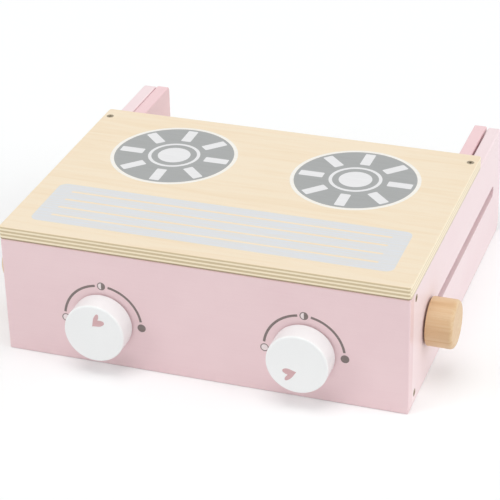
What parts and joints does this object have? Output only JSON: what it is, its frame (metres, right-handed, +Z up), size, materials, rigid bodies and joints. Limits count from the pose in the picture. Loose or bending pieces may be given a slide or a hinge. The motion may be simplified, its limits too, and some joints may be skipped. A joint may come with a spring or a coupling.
{
  "type": "portable play kitchen",
  "caption": "Low wooden toy hob with printed burners, turning control knobs and a carrying frame that pulls out to the back along slotted side boards and is locked by clamp knobs.",
  "frame": {"origin": "on the table, midway between the side boards and midway along the whole toy with its frame pushed in", "axes": "+X to the user's right, +Y away from the user towards the handle, +Z up"},
  "size_m": [0.3406, 0.3006, 0.1007],
  "materials": {
    "pink_paint": "satin pale pink lacquer on board",
    "white_paint": "satin white lacquer on turned wood",
    "birch_plywood": "matt clear lacquer, plies open at the edges, printed top",
    "beech": "oiled, turned",
    "softwood": "planed, bare",
    "steel": "zinc-plated",
    "brass": "turned",
    "nylon": "moulded, natural",
    "grey_ink": "screen-printed ink",
    "white_ink": "screen-printed ink",
    "pink_ink": "screen-printed ink"
  },
  "bodies": {
    "carcass": {"front_panel": "pink_paint", "side_panel_left": "pink_paint", "side_panel_right": "pink_paint", "hob_top": "birch_plywood", "corner_batten_left": "softwood", "corner_batten_right": "softwood", "hob_dowels": "beech", "hob_screws": "steel", "side_screws_left": "steel", "side_screws_right": "steel"},
    "frame": {"frame_arm_left": "pink_paint", "frame_arm_right": "pink_paint", "handle_bar": "beech", "handle_screws": "steel", "clamp_bolt_left": "steel", "clamp_bolt_right": "steel"},
    "knob_left": {"control_knob_left": "white_paint", "knob_spindle_left": "beech", "knob_washer_left": "nylon", "spindle_retainer_left": "beech", "spindle_screw_left": "steel"},
    "washer_left": {"clamp_washer_left": "steel"},
    "clamp_left": {"clamp_knob_left": "beech", "clamp_insert_left": "brass"},
    "knob_right": {"control_knob_right": "white_paint", "knob_spindle_right": "beech", "knob_washer_right": "nylon", "spindle_retainer_right": "beech", "spindle_screw_right": "steel"},
    "washer_right": {"clamp_washer_right": "steel"},
    "clamp_right": {"clamp_knob_right": "beech", "clamp_insert_right": "brass"}
  },
  "joints": [
    {"name": "frame_slide", "type": "slide", "parent": "carcass", "child": "frame", "axis": [0, 1, 0], "range_m": [0, 0.2023]},
    {"name": "knob_left_turn", "type": "hinge", "parent": "carcass", "child": "knob_left", "pos_m": [-0.07405, -0.1325, 0.0354], "axis": [0, 1, 0], "continuous": true},
    {"name": "clamp_left_lift", "type": "slide", "parent": "frame", "child": "washer_left", "axis": [-1, 0, 0], "range_m": [0, 0.00126]},
    {"name": "clamp_left_turn", "type": "hinge", "parent": "washer_left", "child": "clamp_left", "pos_m": [-0.15, -0.0808, 0.046], "axis": [-1, 0, 0], "range_deg": [0, 360]},
    {"name": "knob_right_turn", "type": "hinge", "parent": "carcass", "child": "knob_right", "pos_m": [0.07565, -0.1325, 0.0372], "axis": [0, 1, 0], "continuous": true},
    {"name": "clamp_right_lift", "type": "slide", "parent": "frame", "child": "washer_right", "axis": [1, 0, 0], "range_m": [-0.00126, 0]},
    {"name": "clamp_right_turn", "type": "hinge", "parent": "washer_right", "child": "clamp_right", "pos_m": [0.15, -0.0808, 0.046], "axis": [1, 0, 0], "range_deg": [-360, 0]}
  ],
  "couplings": [
    {"joint": "clamp_left_lift", "follows": "clamp_left_turn", "m_per_rad": 0.00019894},
    {"joint": "clamp_right_lift", "follows": "clamp_right_turn", "m_per_rad": 0.00019894}
  ]
}
